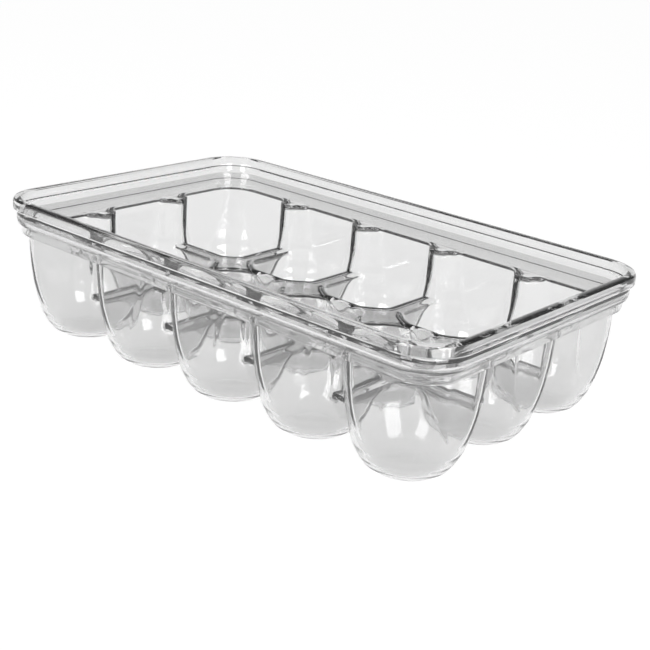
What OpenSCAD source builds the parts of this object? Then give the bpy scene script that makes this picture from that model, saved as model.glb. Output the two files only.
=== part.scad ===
// Clear egg tray: three rows of five cups moulded in one sheet under a banded rim.
// The moulding is cut into the zones a mould maker would name, one node each.
// The twelve outer cups climb as square pockets with ribs between them; the three
// in the middle stop at the deck.
// Millimetres. Origin under the middle of the tray, on the plane of the feet; +Z up.
// X runs along the five-cup side, Y along the three-cup side.

/* [Cups] */
// Cups along the long side
cols = 5; // [2:1:8]
// Cups along the short side
rows = 3; // [2:1:6]
// Distance between neighbouring cup axes
pitch = 48; // [44:0.5:60]
// Radius of the flat foot under each cup
foot_r = 10; // [6:0.5:12]
// Height of the flat deck between the cups
deck_z = 26; // [18:1:32]

/* [Sheet] */
// Thickness of the clear sheet
wall = 2; // [1.2:0.1:2.2]
// Width of the ribs between the outer pockets
rib_w = 8.8; // [7:0.2:12]
// How far the ribs stand in from the pocket walls
rib_depth = 8.3; // [5:0.1:10]

/* [Rim] */
// Overall height of the tray
tray_h = 64; // [58:1:74]
// How far the rim stands out beyond the cells
rim_out = 7; // [6.5:0.5:12]
// Corner radius of the rim
rim_r = 21.5; // [18:0.5:28]
// Height of the top flange
flange_h = 5; // [3:0.5:7]
// Width of the flat top of the flange
flange_w = 5; // [3.5:0.5:6]

/* [Hidden] */
$fn = 72;
eps = 0.01;
half_l = cols * pitch / 2 + rim_out;
half_w = rows * pitch / 2 + rim_out;
flange_z = tray_h - flange_h;
bead_z = flange_z - 7;
skirt_z = bead_z - 5;
cap_z = skirt_z + 1;
ledge_z = cap_z + wall;
ledge_in = rim_out + wall + 0.2;
pocket_half = pitch / 2 - 2.2;
rib_side = (pitch - rib_w) / 2;
pocket_r = 4;
well_reach = pocket_half - rib_depth;
well_r = 8;
lip_h = 2;

// ---- helpers -------------------------------------------------------------

function cup_x(i) = (i - (cols - 1) / 2) * pitch;
function cup_y(j) = (j - (rows - 1) / 2) * pitch;

// An outer cup has a neighbour on some sides only; a rib stands on those sides
function is_outer(i, j) = i == 0 || i == cols - 1 || j == 0 || j == rows - 1;
function side_x(i, j, next) =
    (next < 0 || next > cols - 1 || !is_outer(next, j)) ? pocket_half : rib_side;
function side_y(i, j, next) =
    (next < 0 || next > rows - 1 || !is_outer(i, next)) ? pocket_half : rib_side;

// Bowl of one cup as radius and height pairs; w is 0 for a middle cup, 1 for an outer one
function outside(w) = [[foot_r + w, 0], [foot_r + 3.6 + w, 0.8], [foot_r + 6.3 + 1.2 * w, 2.8],
    [foot_r + 8.3 + 1.5 * w, 6], [foot_r + 10.2 + 2.1 * w, 11], [foot_r + 11.8 + 2.3 * w, 17],
    [foot_r + 13 + 2.2 * w, 22], [23.8 + 2.2 * w, deck_z + 0.5], [25.2 + 1.8 * w, 35],
    [26.6 + 1.3 * w, cap_z]];
function inside(w) = [[foot_r - 0.6 + w, wall], [foot_r + 2.5 + w, wall + 0.6],
    [foot_r + 4.9 + 1.2 * w, 4.4], [foot_r + 6.6 + 1.5 * w, 7.2],
    [foot_r + 8.3 + 2.1 * w, 11.6], [foot_r + 9.85 + 2.3 * w, 17.4],
    [foot_r + 11 + 2.2 * w, 22.3], [21.8 + 2.2 * w, deck_z + 0.5], [23.2 + 1.8 * w, 35],
    [24.6 + 1.3 * w, cap_z + eps]];

module bowl(pts, top) {
    rotate_extrude()
        polygon(concat([[0, pts[0][1]]], pts, [[0, top]]));
}

// Square with round corners, drawn from the middle
module round_square(half_x, half_y, r) {
    square([2 * half_x, 2 * (half_y - r)], center = true);
    square([2 * (half_x - r), 2 * half_y], center = true);
    for (sx = [-1, 1])
        for (sy = [-1, 1])
            translate([sx * (half_x - r), sy * (half_y - r)])
                circle(r);
}

// A profile carried round the rim; its x = 0 is the outermost face of the rim
module rim_sweep() {
    sx = half_l - rim_r;
    sy = half_w - rim_r;
    for (q = [[sx, sy, 0], [-sx, sy, 90], [-sx, -sy, 180], [sx, -sy, 270]])
        translate([q[0], q[1], 0])
            rotate([0, 0, q[2]])
                rotate_extrude(angle = 90)
                    translate([rim_r, 0])
                        children();
    for (a = [0, 180])
        rotate([0, 0, a]) {
            translate([half_l, sy, 0])
                rotate([90, 0, 0])
                    linear_extrude(2 * sy)
                        children();
            translate([-sx, half_w, 0])
                rotate([90, 0, 90])
                    linear_extrude(2 * sx)
                        children();
        }
}

// Outline of one outer pocket, in place; it follows the rim round the tray's corners
module pocket_plan(i, j, grow) {
    left = side_x(i, j, i - 1) + grow;
    right = side_x(i, j, i + 1) + grow;
    front = side_y(i, j, j - 1) + grow;
    back = side_y(i, j, j + 1) + grow;
    intersection() {
        translate([cup_x(i) + (right - left) / 2, cup_y(j) + (back - front) / 2])
            round_square((left + right) / 2, (front + back) / 2, pocket_r + grow);
        round_square(half_l - ledge_in + grow, half_w - ledge_in + grow,
            rim_r - ledge_in + grow);
    }
}

// Space inside the tray above the deck, without the pockets
module well(grow, z0, z1) {
    translate([0, 0, z0])
        linear_extrude(z1 - z0)
            round_square(cup_x(cols - 1) + well_reach + grow,
                cup_y(rows - 1) + well_reach + grow, well_r + grow);
}

module cup_outside(i, j) {
    if (is_outer(i, j))
        intersection() {
            translate([cup_x(i), cup_y(j), 0])
                bowl(outside(1), cap_z);
            linear_extrude(cap_z)
                pocket_plan(i, j, wall);
        }
    else
        translate([cup_x(i), cup_y(j), 0])
            bowl(outside(0), cap_z);
}

module cup_inside(i, j) {
    if (is_outer(i, j))
        intersection() {
            translate([cup_x(i), cup_y(j), 0])
                bowl(inside(1), cap_z + eps);
            linear_extrude(cap_z + 1)
                pocket_plan(i, j, 0);
        }
    else
        translate([cup_x(i), cup_y(j), 0]) {
            bowl(inside(0), cap_z + eps);
            translate([0, 0, deck_z - lip_h])
                cylinder(h = lip_h + eps, r1 = pocket_half - 0.4, r2 = pocket_half + 1.1);
        }
}

// ---- zones of the moulding ------------------------------------------------

module cup(i, j) {
    color([0.9, 0.92, 0.94, 0.5])
        difference() {
            cup_outside(i, j);
            cup_inside(i, j);
            well(0, deck_z, cap_z + 1);
        }
}

// Half of the deck: side is -1 in front of the middle row, 1 behind it
module deck(side) {
    color([0.86, 0.9, 0.92, 0.5])
        difference() {
            well(wall, deck_z - wall, deck_z);
            translate([-half_l, side > 0 ? -half_w : 0, 0])
                cube([2 * half_l, half_w, tray_h]);
            for (i = [0:cols - 1])
                for (j = [0:rows - 1])
                    cup_outside(i, j);
        }
}

module ribs() {
    color([0.88, 0.91, 0.93, 0.5])
        difference() {
            well(wall, deck_z, cap_z);
            well(0, deck_z - 1, cap_z + 1);
            for (i = [0:cols - 1])
                for (j = [0:rows - 1])
                    cup_outside(i, j);
        }
}

module ledge() {
    color([0.9, 0.92, 0.94, 0.5]) {
        rim_sweep()
            polygon([[-3.9, flange_z], [-flange_w, flange_z],
                [-flange_w - 0.8, flange_z - 2.5], [-ledge_in, ledge_z], [-ledge_in, cap_z],
                [-ledge_in + wall, cap_z], [-ledge_in + wall, ledge_z + 0.2],
                [-4.2, ledge_z + 5.8], [-3.9, ledge_z + 6.2]]);
        translate([0, 0, cap_z])
            linear_extrude(wall)
                difference() {
                    round_square(half_l - ledge_in, half_w - ledge_in, rim_r - ledge_in);
                    round_square(cup_x(cols - 1) + well_reach,
                        cup_y(rows - 1) + well_reach, well_r);
                    for (i = [0:cols - 1])
                        for (j = [0:rows - 1])
                            if (is_outer(i, j))
                                pocket_top(i, j);
                }
    }
}

module pocket_top(i, j) {
    intersection() {
        pocket_plan(i, j, 0);
        translate([cup_x(i), cup_y(j)])
            circle(inside(1)[9][0]);
    }
}

module rim_flange() {
    color([0.93, 0.95, 0.97, 0.6])
        rim_sweep()
            polygon([[-flange_w, flange_z], [-0.5, flange_z], [0, flange_z + 0.7],
                [0, tray_h - 1.2], [-0.35, tray_h - 0.35], [-1.2, tray_h],
                [-flange_w + 0.8, tray_h], [-flange_w + 0.2, tray_h - 0.3],
                [-flange_w, tray_h - 0.9]]);
}

module rim_bead() {
    color([0.9, 0.93, 0.95, 0.6])
        rim_sweep()
            polygon([[-5.7, bead_z], [-2.9, bead_z], [-2.1, bead_z + 0.9],
                [-1.7, bead_z + 2.4], [-1.6, bead_z + 4], [-1.8, bead_z + 5.6],
                [-2.4, flange_z], [-3.9, flange_z], [-3.9, bead_z + 2.6],
                [-4.6, bead_z + 1.2]]);
}

module rim_skirt() {
    color([0.87, 0.9, 0.93, 0.6])
        rim_sweep()
            polygon([[-5.7, skirt_z], [-5.1, skirt_z], [-4.2, skirt_z + 0.7],
                [-3.8, skirt_z + 1.8], [-3.7, skirt_z + 3], [-3.7, bead_z],
                [-5.7, bead_z]]);
}

rim_flange();
rim_bead();
rim_skirt();
ledge();
deck(-1);  // deck_front
deck(1);  // deck_back
ribs();
cup(0, 0);  // cup_a1
cup(1, 0);  // cup_a2
cup(2, 0);  // cup_a3
cup(3, 0);  // cup_a4
cup(4, 0);  // cup_a5
cup(0, 1);  // cup_b1
cup(1, 1);  // cup_b2
cup(2, 1);  // cup_b3
cup(3, 1);  // cup_b4
cup(4, 1);  // cup_b5
cup(0, 2);  // cup_c1
cup(1, 2);  // cup_c2
cup(2, 2);  // cup_c3
cup(3, 2);  // cup_c4
cup(4, 2);  // cup_c5
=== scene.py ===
# %% [markdown]
# # A clear egg tray
# The object is one clear moulding: fifteen cups hang from a flat deck, tall pockets
# climb from the outer cups to a sloped ledge, and three bands make the rim.
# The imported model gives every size, so the first step loads it and reads them.

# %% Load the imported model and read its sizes
import math

import bpy
from mathutils import Matrix, Vector


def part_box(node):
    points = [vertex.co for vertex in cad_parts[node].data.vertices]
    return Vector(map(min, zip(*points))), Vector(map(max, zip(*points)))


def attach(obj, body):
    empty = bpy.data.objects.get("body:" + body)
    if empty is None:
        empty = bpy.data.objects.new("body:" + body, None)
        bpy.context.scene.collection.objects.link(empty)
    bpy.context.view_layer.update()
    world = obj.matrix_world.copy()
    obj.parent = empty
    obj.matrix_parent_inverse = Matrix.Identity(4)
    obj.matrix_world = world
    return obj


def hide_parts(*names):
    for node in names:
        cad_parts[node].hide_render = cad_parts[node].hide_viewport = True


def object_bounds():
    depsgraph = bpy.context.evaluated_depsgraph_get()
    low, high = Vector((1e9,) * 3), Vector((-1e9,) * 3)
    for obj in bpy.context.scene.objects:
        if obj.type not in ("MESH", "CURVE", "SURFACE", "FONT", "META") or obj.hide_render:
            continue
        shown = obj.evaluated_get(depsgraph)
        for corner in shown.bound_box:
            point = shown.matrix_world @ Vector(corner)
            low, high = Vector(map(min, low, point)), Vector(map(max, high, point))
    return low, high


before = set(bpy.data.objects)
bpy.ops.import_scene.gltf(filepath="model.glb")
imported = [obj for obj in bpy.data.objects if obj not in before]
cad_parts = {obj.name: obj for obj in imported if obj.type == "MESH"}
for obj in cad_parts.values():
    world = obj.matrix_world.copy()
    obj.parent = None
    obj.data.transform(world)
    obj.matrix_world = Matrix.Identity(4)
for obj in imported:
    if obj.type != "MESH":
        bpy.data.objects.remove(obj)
cad_low, cad_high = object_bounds()
MM = 0.001
half_l = cad_high[0]
half_w = cad_high[1]
top_z = cad_high[2]
cup_names = [[f"cup_{row}{col}" for col in range(1, 6)] for row in "abc"]


def middle(node):
    low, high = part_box(node)
    return Vector([(a + b) / 2 for a, b in zip(low, high)])


pitch = round((middle("cup_b4").x - middle("cup_b2").x) / 2, 4)
deck_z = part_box("deck_front")[1][2]
ledge_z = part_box("ledge")[0][2] + 2 * MM
flange_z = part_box("rim_flange")[0][2]
bead_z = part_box("rim_bead")[0][2]
skirt_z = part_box("rim_skirt")[0][2]
print("half length", half_l, "half width", half_w, "pitch", pitch, "deck", deck_z)
print("ledge", ledge_z, "flange", flange_z, "bead", bead_z, "skirt", skirt_z)

# %% [markdown]
# ## The camera
# The tray is seen from one long corner, a little from above, through a long lens.
# The camera comes first, so that every later step can be looked at from there.

# %% Place the camera
look_at = Vector((-27.1, 46.3, 0.0)) * MM
turn, height, roll = math.radians(39.3), math.radians(20.37), math.radians(4.45)
away = Vector((math.sin(turn) * math.cos(height), -math.cos(turn) * math.cos(height),
               math.sin(height)))
side = Vector((math.cos(turn), math.sin(turn), 0.0))
up = away.cross(side)
right = side * math.cos(roll) + up * math.sin(roll)
above = up * math.cos(roll) - side * math.sin(roll)
camera_data = bpy.data.cameras.new("camera")
camera_data.lens = 70.75
camera_data.sensor_width = 36
camera_data.clip_start = 0.01
camera = bpy.data.objects.new("camera", camera_data)
place = Matrix((right, above, away)).transposed().to_4x4()
place.translation = look_at + away * 641.5 * MM
camera.matrix_world = place
bpy.context.scene.collection.objects.link(camera)
bpy.context.scene.camera = camera
print("camera stands", round(place.translation.length, 3), "m away")

# %% [markdown]
# ## Helpers for stacked outlines
# A bowl, a pocket and a ledge are all stacks of outlines: a flat shape is extruded
# upwards again and again, and each new top is scaled to the width it has there.
# That is how they would be drawn by hand with E and S in edit mode.

# %% Helpers: deselect, stack outlines, combine
WALL = 2 * MM


def nothing_selected():
    if bpy.context.mode != "OBJECT":
        bpy.ops.object.mode_set(mode="OBJECT")
    bpy.ops.object.select_all(action="DESELECT")


def only(obj):
    nothing_selected()
    obj.select_set(True)
    bpy.context.view_layer.objects.active = obj


def round_outline(name, half_x, half_y, radius):
    """A flat rectangle with round corners, in the plane of the floor."""
    nothing_selected()
    bpy.ops.mesh.primitive_plane_add(size=2)
    obj = bpy.context.object
    obj.name = name
    bpy.ops.object.mode_set(mode="EDIT")
    bpy.ops.transform.resize(value=(half_x, half_y, 1))
    bpy.ops.mesh.bevel(affect="VERTICES", offset=radius, segments=16)
    return obj


def disc(name, radius, steps=96):
    nothing_selected()
    bpy.ops.mesh.primitive_circle_add(radius=radius, vertices=steps, fill_type="NGON")
    obj = bpy.context.object
    obj.name = name
    bpy.ops.object.mode_set(mode="EDIT")
    return obj


def stack(obj, levels):
    """Raises the selected face through (height, half_x, half_y) levels, closed below."""
    z, wide, deep = levels[0]
    bpy.ops.transform.translate(value=(0, 0, z))
    for next_z, next_wide, next_deep in levels[1:]:
        bpy.ops.mesh.extrude_region_move(
            TRANSFORM_OT_translate={"value": (0, 0, next_z - z)})
        bpy.ops.transform.resize(value=(next_wide / wide, next_deep / deep, 1),
                                 center_override=(0, 0, 0))
        z, wide, deep = next_z, next_wide, next_deep
    bpy.ops.mesh.select_all(action="DESELECT")
    bpy.ops.mesh.select_non_manifold()
    bpy.ops.mesh.edge_face_add()
    bpy.ops.mesh.select_all(action="SELECT")
    bpy.ops.mesh.normals_make_consistent(inside=False)
    bpy.ops.object.mode_set(mode="OBJECT")
    return obj


def combine(obj, other, operation):
    """Cuts, joins or intersects obj with other, and removes other."""
    only(obj)
    step = obj.modifiers.new(operation.lower(), "BOOLEAN")
    step.operation = operation
    step.solver = "MANIFOLD"
    step.object = other
    bpy.ops.object.modifier_apply(modifier=step.name)
    bpy.data.objects.remove(other, do_unlink=True)
    return obj


def join(objs, name):
    nothing_selected()
    for obj in objs:
        obj.select_set(True)
    bpy.context.view_layer.objects.active = objs[0]
    bpy.ops.object.join()
    objs[0].name = name
    return objs[0]


def melt(obj, grain, passes):
    """Fuses overlapping shapes into one skin, then eases its edges into fillets."""
    only(obj)
    step = obj.modifiers.new("fuse", "REMESH")
    step.mode = "VOXEL"
    step.voxel_size = grain
    bpy.ops.object.modifier_apply(modifier=step.name)
    step = obj.modifiers.new("ease", "SMOOTH")
    step.factor = 0.5
    step.iterations = passes
    bpy.ops.object.modifier_apply(modifier=step.name)
    return obj


print("helpers ready")

# %% [markdown]
# ## Bowls and pockets
# Each cup is a round bowl on a small flat foot. The twelve outer cups are a little
# wider and carry on above the deck as pockets: the bowl is squared off by a block,
# which stands closer on the sides where a rib parts it from the next pocket. Each
# shape is made twice, as the air inside and as the plastic two millimetres outside.

# %% Model the bowls and the pockets, inside and outside
inside_curve = [(2.0, 9.4), (2.6, 12.5), (4.4, 14.9), (7.2, 16.6), (11.6, 18.3),
                (17.4, 19.85), (22.3, 21.0), (24.0, 21.4), (26.0, 22.9), (26.4, 23.2)]
outside_curve = [(0.0, 10.0), (0.8, 13.6), (2.8, 16.3), (6.0, 18.3), (11.0, 20.2),
                 (17.0, 21.8), (22.0, 23.0), (25.8, 23.7)]
wide_inside = [(2.0, 10.4), (2.6, 13.5), (4.4, 16.1), (7.2, 18.1), (11.6, 20.4),
               (17.4, 22.15), (22.3, 23.2), (26.5, 24.0), (35.0, 25.0), (48.0, 25.9),
               (56.0, 26.4)]
wide_outside = [(0.0, 11.0), (0.8, 14.6), (2.8, 17.5), (6.0, 19.8), (11.0, 22.3),
                (17.0, 24.1), (22.0, 25.2), (26.5, 26.0), (35.0, 27.0), (48.0, 27.9),
                (49.5, 28.0)]
ledge_in = 9.2 * MM
rim_round = 21.5 * MM
open_side, rib_side = 21.8 * MM, 19.6 * MM
well_x = 2 * pitch + 13.5 * MM
well_y = pitch + 13.5 * MM


def bowl(name, curve, x, y):
    levels = [(z * MM, r * MM, r * MM) for z, r in curve]
    shape = stack(disc(name, levels[0][1]), levels)
    shape.location = (x, y, 0)
    bpy.ops.object.transform_apply(location=True, rotation=False, scale=False)
    return shape


def block_between(name, half_x, half_y, radius, low, high):
    outline = round_outline(name, half_x, half_y, radius)
    return stack(outline, [(low, half_x, half_y), (high, half_x, half_y)])


def is_outer(col, row):
    return col in (0, 4) or row in (0, 2)


def reach(col, row, step_x, step_y):
    """How far a pocket reaches towards a side: less where a rib stands there."""
    col, row = col + step_x, row + step_y
    beside_rib = 0 <= col <= 4 and 0 <= row <= 2 and is_outer(col, row)
    return rib_side if beside_rib else open_side


def pocket(name, curve, col, row, grow):
    x, y = (col - 2) * pitch, (row - 1) * pitch
    left, right = (reach(col, row, step, 0) + grow for step in (-1, 1))
    front, back = (reach(col, row, 0, step) + grow for step in (-1, 1))
    block = block_between("block", (left + right) / 2, (front + back) / 2,
                          4 * MM + grow, -MM, 70 * MM)
    block.location = (x + (right - left) / 2, y + (back - front) / 2, 0)
    bpy.ops.object.transform_apply(location=True, rotation=False, scale=False)
    edge = ledge_in - grow
    corner = block_between("corner", half_l - edge, half_w - edge, rim_round - edge,
                           -2 * MM, 80 * MM)
    shape = combine(bowl(name, curve, x, y), block, "INTERSECT")
    return combine(shape, corner, "INTERSECT")


def fifteen(name, middle_curve, outer_curve, grow):
    made = []
    for row in range(3):
        for col in range(5):
            if is_outer(col, row):
                made.append(pocket(name, outer_curve, col, row, grow))
            else:
                x, y = (col - 2) * pitch, (row - 1) * pitch
                made.append(bowl(name, middle_curve, x, y))
    return made


air_cups = fifteen("air_cup", inside_curve, wide_inside, 0)
skin_cups = fifteen("skin_cup", outside_curve, wide_outside, WALL)
print("cups inside", len(air_cups), "and outside", len(skin_cups))

# %% [markdown]
# ## The air inside and the skin outside
# The well above the deck, the pockets and the bowls overlap. Fusing them into one
# skin and easing it gives the soft, poured look of moulded plastic at every lip.

# %% Fuse the air and the skin
GRAIN = 0.9 * MM
EASE_PASSES = 4
well = block_between("well", well_x, well_y, 8 * MM, deck_z, 56 * MM)
air = melt(join(air_cups + [well], "air"), GRAIN, EASE_PASSES)
floor_block = block_between("floor_block", well_x + WALL, well_y + WALL, 10 * MM,
                            deck_z - WALL, 49.5 * MM)
roof_block = block_between("roof_block", half_l - 8 * MM, half_w - 8 * MM, 13.5 * MM,
                           ledge_z - WALL, 51.5 * MM)
skin = melt(join(skin_cups + [floor_block, roof_block], "skin"), GRAIN, EASE_PASSES)
print("air faces", len(air.data.polygons), "skin faces", len(skin.data.polygons))

# %% [markdown]
# ## The rim
# The rim is one profile carried round a rounded rectangle: a thick flange on top, a
# swelling bead under it, a skirt that tucks in and, behind a narrow channel, the
# slope down to the pockets. A curve with a bevel profile sweeps it exactly.

# %% Sweep the rim


def rim_path():
    path = round_outline("rim_path", half_l, half_w, rim_round)
    bpy.ops.mesh.delete(type="ONLY_FACE")
    bpy.ops.object.mode_set(mode="OBJECT")
    bpy.ops.object.convert(target="CURVE")
    return bpy.context.object


def sweep(name, profile):
    """Carries a closed (out, up) profile in millimetres round the rim."""
    outline = bpy.data.curves.new("profile", "CURVE")
    line = outline.splines.new("POLY")
    line.points.add(len(profile) - 1)
    for point, (out, z) in zip(line.points, profile):
        point.co = (out * MM, z * MM, 0, 1)
    line.use_cyclic_u = True
    shape = bpy.data.objects.new("profile", outline)
    bpy.context.scene.collection.objects.link(shape)
    path = rim_path()
    path.data.dimensions = "3D"
    path.data.twist_mode = "Z_UP"
    path.data.bevel_mode = "OBJECT"
    path.data.bevel_object = shape
    only(path)
    bpy.ops.object.convert(target="MESH")
    ring = bpy.context.object
    ring.name = name
    bpy.data.objects.remove(shape, do_unlink=True)
    bpy.ops.object.mode_set(mode="EDIT")
    bpy.ops.mesh.select_all(action="SELECT")
    bpy.ops.mesh.remove_doubles(threshold=1e-6)
    bpy.ops.mesh.normals_make_consistent(inside=False)
    bpy.ops.object.mode_set(mode="OBJECT")
    return ring


sk, bd, fl, tp = skirt_z / MM, bead_z / MM, flange_z / MM, top_z / MM
rim_profile = [(-5.7, sk), (-5.1, sk), (-4.2, sk + 0.7), (-3.8, sk + 1.8), (-3.7, sk + 3),
               (-3.7, bd), (-2.9, bd), (-2.1, bd + 0.9), (-1.7, bd + 2.4), (-1.6, bd + 4),
               (-1.8, bd + 5.6), (-2.4, fl), (-0.5, fl), (0, fl + 0.7), (0, tp - 1.2),
               (-0.35, tp - 0.35), (-1.2, tp), (-4.2, tp), (-4.8, tp - 0.3),
               (-5, tp - 0.9),
               (-5, fl), (-5.8, fl - 2.5), (-9.4, fl - 9.4), (-9.4, sk + 1.4),
               (-7.6, sk + 1.4), (-7.2, sk + 3.2), (-4.2, bd + 3.8), (-3.9, bd + 2.6),
               (-4.6, bd + 1.2), (-5.7, bd)]
rim = sweep("rim", rim_profile)
low = min(v.co.z for v in rim.data.vertices)
high = max(v.co.z for v in rim.data.vertices)
print("rim faces", len(rim.data.polygons), "from", round(low, 4), "to", round(high, 4),
      "half", max(v.co.x for v in rim.data.vertices))

# %% [markdown]
# ## One body of plastic
# Clear plastic shows every inner face, so the pieces must not meet in hidden walls.
# The skin and the rim become one solid first, and the air is then cut out of it.
# The sloped ledge is cut last with clean, crisp planes, as a mould would leave it.

# %% Join the skin to the rim and cut out the air
body = combine(skin, rim, "UNION")
body = combine(body, air, "DIFFERENCE")


def inset(amount, z):
    return z, half_l - amount * MM, half_w - amount * MM


ledge_air = round_outline("ledge_air", *inset(9.2, 0)[1:], 12.3 * MM)
stack(ledge_air, [inset(9.2, ledge_z), inset(5.8, flange_z - 2.5 * MM),
                  inset(5, flange_z), inset(5, top_z + 5 * MM)])
body = combine(body, ledge_air, "DIFFERENCE")
body.name = "body"
only(body)
CREASE = math.radians(32)
bpy.ops.object.shade_smooth_by_angle(angle=CREASE)
print("body faces", len(body.data.polygons),
      "box", [round(v, 4) for v in body.dimensions])

# %% [markdown]
# ## Zones of the moulding
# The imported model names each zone: every cup, the deck, the ribs, the ledge and
# the bands. The body is parted along the same lines. Each zone keeps the smooth
# shading of the whole, so no seam shows where two zones meet.

# %% Part the body into named zones
zones = ["rim_flange", "rim_bead", "rim_skirt", "ledge",
         "deck_front", "deck_back", "ribs"]
zones += [name for row in cup_names for name in row]


def inset_of(x, y):
    """How far a point lies inside the rim's outline, in millimetres."""
    over_x = abs(x) - (half_l - rim_round)
    over_y = abs(y) - (half_w - rim_round)
    if over_x > 0 and over_y > 0:
        return (rim_round - math.hypot(over_x, over_y)) / MM
    return (rim_round - max(over_x, over_y)) / MM


def zone_of(point, facing):
    x, y, z = point
    col = max(0, min(4, round(x / pitch) + 2))
    row = max(0, min(2, round(y / pitch) + 1))
    away_x, away_y = abs(x - (col - 2) * pitch), abs(y - (row - 1) * pitch)
    gap = inset_of(x, y)
    inward = facing.x * x / half_l ** 2 + facing.y * y / half_w ** 2 < -0.5
    if z > flange_z - 1e-5:
        return "rim_flange"
    if z > ledge_z - 1e-5 and inward or z > ledge_z - 3 * MM and gap > 8.9:
        return "ledge"
    if z > bead_z - 1e-5:
        return "rim_bead"
    if z > skirt_z - 2e-4 and gap < 8.9:
        return "rim_skirt"
    crest_x = abs(abs(x) - well_x - MM) < 1.6 * MM and away_y > 19 * MM
    crest_y = abs(abs(y) - well_y - MM) < 1.6 * MM and away_x > 19 * MM
    if z > deck_z + 0.5 * MM and (crest_x or crest_y):
        return "ribs"
    off_centre = math.hypot(away_x, away_y)
    clear_of_cups = max(away_x, away_y) > 20.5 * MM and off_centre > 22.8 * MM
    if abs(z - deck_z + MM) < 1.7 * MM and clear_of_cups and gap > 20 * MM:
        return "deck_front" if y < 0 else "deck_back"
    return cup_names[row][col]


mesh = body.data
shading = mesh.attributes.new("shading", "FLOAT_VECTOR", "CORNER")
flat = [0.0] * (3 * len(mesh.loops))
mesh.corner_normals.foreach_get("vector", flat)
shading.data.foreach_set("vector", flat)
mesh.materials.clear()
for name in zones:
    mesh.materials.append(bpy.data.materials.new("zone_" + name))
order = {name: index for index, name in enumerate(zones)}
mesh.polygons.foreach_set("material_index",
                          [order[zone_of(p.center, p.normal)] for p in mesh.polygons])
only(body)
bpy.ops.mesh.separate(type="MATERIAL")
parts = {}
for obj in list(bpy.context.selected_objects):
    zone = obj.data.materials[0].name.removeprefix("zone_")
    obj.name = "clear_" + zone
    obj.data.name = obj.name
    kept = obj.data.attributes["shading"]
    flat = [0.0] * (3 * len(obj.data.loops))
    kept.data.foreach_get("vector", flat)
    obj.data.attributes.remove(kept)
    obj.data.normals_split_custom_set([flat[i:i + 3] for i in range(0, len(flat), 3)])
    obj.data.materials.clear()
    parts[zone] = obj
for name in zones:
    bpy.data.materials.remove(bpy.data.materials["zone_" + name])
print({name: len(obj.data.polygons) for name, obj in parts.items()})

# %% [markdown]
# ## Clear plastic
# Moulded clear plastic bends light like glass, but a little less. It is never quite
# even: the melt leaves faint waves in the sheet, and handling leaves a light haze.
# Both come from one small group of nodes, so that every zone shares them. A small
# part of the light is scattered in the sheet, which gives the pale grey of thick layers.

# %% Make the clear plastic


def flow_group():
    """Faint waves and haze that moulding leaves in a clear sheet."""
    group = bpy.data.node_groups.new("mould flow", "ShaderNodeTree")
    face = group.interface
    face.new_socket("Haze Low", in_out="INPUT", socket_type="NodeSocketFloat")
    face.new_socket("Haze High", in_out="INPUT", socket_type="NodeSocketFloat")
    face.new_socket("Roughness", in_out="OUTPUT", socket_type="NodeSocketFloat")
    face.new_socket("Height", in_out="OUTPUT", socket_type="NodeSocketFloat")
    nodes, links = group.nodes, group.links
    enter, leave = nodes.new("NodeGroupInput"), nodes.new("NodeGroupOutput")
    place_in = nodes.new("ShaderNodeTexCoord")
    haze = nodes.new("ShaderNodeTexNoise")
    haze.inputs["Scale"].default_value = 22
    haze.inputs["Detail"].default_value = 3
    spread = nodes.new("ShaderNodeMapRange")
    spread.inputs["From Min"].default_value = 0.35
    spread.inputs["From Max"].default_value = 0.7
    waves = nodes.new("ShaderNodeTexNoise")
    waves.inputs["Scale"].default_value = 45
    waves.inputs["Detail"].default_value = 1
    links.new(place_in.outputs["Object"], haze.inputs["Vector"])
    links.new(place_in.outputs["Object"], waves.inputs["Vector"])
    links.new(haze.outputs["Fac"], spread.inputs["Value"])
    links.new(enter.outputs["Haze Low"], spread.inputs["To Min"])
    links.new(enter.outputs["Haze High"], spread.inputs["To Max"])
    links.new(spread.outputs["Result"], leave.inputs["Roughness"])
    links.new(waves.outputs["Fac"], leave.inputs["Height"])
    return group


flow = flow_group()


def clear_plastic(name, haze_low, haze_high, wave):
    material = bpy.data.materials.new(name)
    material.use_nodes = True
    nodes, links = material.node_tree.nodes, material.node_tree.links
    shader = nodes["Principled BSDF"]
    shader.inputs["Base Color"].default_value = (0.84, 0.84, 0.84, 1)
    shader.inputs["IOR"].default_value = 1.49
    shader.inputs["Transmission Weight"].default_value = 0.97
    sheet = nodes.new("ShaderNodeGroup")
    sheet.node_tree = flow
    sheet.inputs["Haze Low"].default_value = haze_low
    sheet.inputs["Haze High"].default_value = haze_high
    bump = nodes.new("ShaderNodeBump")
    bump.inputs["Strength"].default_value = wave
    bump.inputs["Distance"].default_value = 0.0002
    links.new(sheet.outputs["Roughness"], shader.inputs["Roughness"])
    links.new(sheet.outputs["Height"], bump.inputs["Height"])
    links.new(bump.outputs["Normal"], shader.inputs["Normal"])
    return material


sheet_plastic = clear_plastic("clear sheet", 0.01, 0.05, 0.15)
rim_plastic = clear_plastic("clear rim", 0.0, 0.03, 0.08)
for zone, obj in parts.items():
    obj.data.materials.append(rim_plastic if zone.startswith("rim") else sheet_plastic)
    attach(obj, "root")
    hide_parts(zone)
print("zones finished", len(parts))

# %% [markdown]
# ## Floor, air and light
# The tray stands on a plain white floor that glows a little, so that it shows no
# shadow. Clear things are drawn by what is darker round them: the room is white near
# the horizon and dark overhead. Two tall soft boxes leave the highlights.

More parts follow.
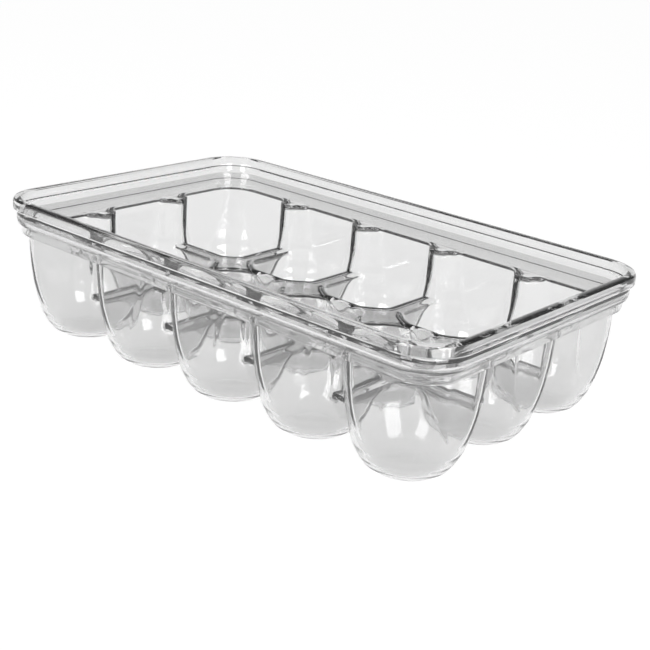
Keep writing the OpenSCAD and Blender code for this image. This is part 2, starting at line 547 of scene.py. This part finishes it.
# %% Lay the floor and set the lights
nothing_selected()
bpy.ops.mesh.primitive_plane_add(size=8, location=(0, 0, -0.0002))
floor = bpy.context.object
floor.name = "floor"
paper = bpy.data.materials.new("white paper")
paper.use_nodes = True
paper_shader = paper.node_tree.nodes["Principled BSDF"]
paper_shader.inputs["Base Color"].default_value = (0.1, 0.1, 0.1, 1)
paper_shader.inputs["Roughness"].default_value = 0.8
paper_shader.inputs["Specular IOR Level"].default_value = 0.0
paper_shader.inputs["Emission Color"].default_value = (1, 1, 1, 1)
paper_shader.inputs["Emission Strength"].default_value = 0.97
floor.data.materials.append(paper)

world = bpy.data.worlds.new("room")
bpy.context.scene.world = world
world.use_nodes = True
tree = world.node_tree
sky = tree.nodes["Background"]
direction = tree.nodes.new("ShaderNodeTexCoord")
split = tree.nodes.new("ShaderNodeSeparateXYZ")
fade = tree.nodes.new("ShaderNodeValToRGB")
fade.color_ramp.elements[0].position = 0.12
fade.color_ramp.elements[0].color = (1, 1, 1, 1)
fade.color_ramp.elements[1].position = 0.4
fade.color_ramp.elements[1].color = (0, 0, 0, 1)
tree.links.new(direction.outputs["Generated"], split.inputs["Vector"])
tree.links.new(split.outputs["Z"], fade.inputs["Fac"])
tree.links.new(fade.outputs["Color"], sky.inputs["Color"])
sky.inputs["Strength"].default_value = 1.0


def soft_box(name, place, aim, width, depth, power):
    data = bpy.data.lights.new(name, "AREA")
    data.shape = "RECTANGLE"
    data.size, data.size_y, data.energy = width, depth, power
    light = bpy.data.objects.new(name, data)
    light.location = place
    facing = Vector(aim) - Vector(place)
    light.rotation_euler = facing.to_track_quat("-Z", "Y").to_euler()
    bpy.context.scene.collection.objects.link(light)
    return light


soft_box("left box", (0.1, -1.25, 0.55), (0, 0, 0.03), 0.6, 1.0, 14)
soft_box("right box", (1.2, -0.35, 0.55), (0, 0, 0.03), 0.6, 1.0, 14)
bpy.context.scene.view_settings.view_transform = "Standard"

# %% [markdown]
# ## Measure and finish
# The box of the imported model is printed.

# %% Print the imported model's box and finish
print("cad", [round(v, 4) for v in (*cad_low, *cad_high)])
